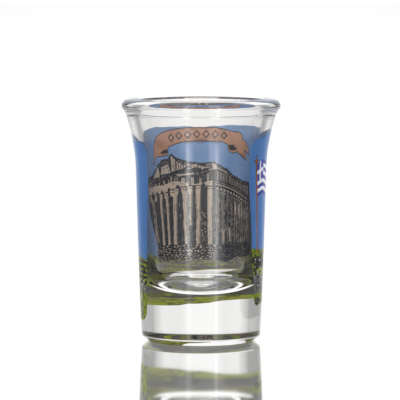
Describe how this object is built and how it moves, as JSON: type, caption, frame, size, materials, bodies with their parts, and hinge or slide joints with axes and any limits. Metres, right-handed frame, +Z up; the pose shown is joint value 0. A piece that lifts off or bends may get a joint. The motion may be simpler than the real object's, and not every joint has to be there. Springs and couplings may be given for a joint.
{
  "type": "shot glass",
  "caption": "Clear flared shot glass with a beaded rim, a thick solid base, a round-bottomed bowl and a wrap-round fired picture of a ruined temple.",
  "frame": {"origin": "centre of the foot ring, on the surface that the glass stands on", "axes": "+Z up along the axis of the glass, -Y towards the clear window between the two ends of the picture, +Y towards the middle of the picture"},
  "size_m": [0.0395, 0.0394, 0.0604],
  "materials": {
    "clear_glass": "polished",
    "sky_ink": "gloss",
    "foliage_ink": "gloss",
    "rock_ink": "gloss",
    "temple_stone_ink": "gloss",
    "temple_shadow_ink": "gloss",
    "banner_ink": "gloss",
    "flag_blue_ink": "gloss",
    "flag_white_ink": "gloss",
    "flagpole_ink": "gloss"
  },
  "bodies": {
    "root": {"glass_body": "clear_glass", "sky_print": "sky_ink", "foliage_print": "foliage_ink", "rock_print": "rock_ink", "temple_stone_print": "temple_stone_ink", "temple_shadow_print": "temple_shadow_ink", "banner_print": "banner_ink", "flag_blue_print": "flag_blue_ink", "flag_white_print": "flag_white_ink", "flagpole_print": "flagpole_ink"}
  },
  "joints": []
}
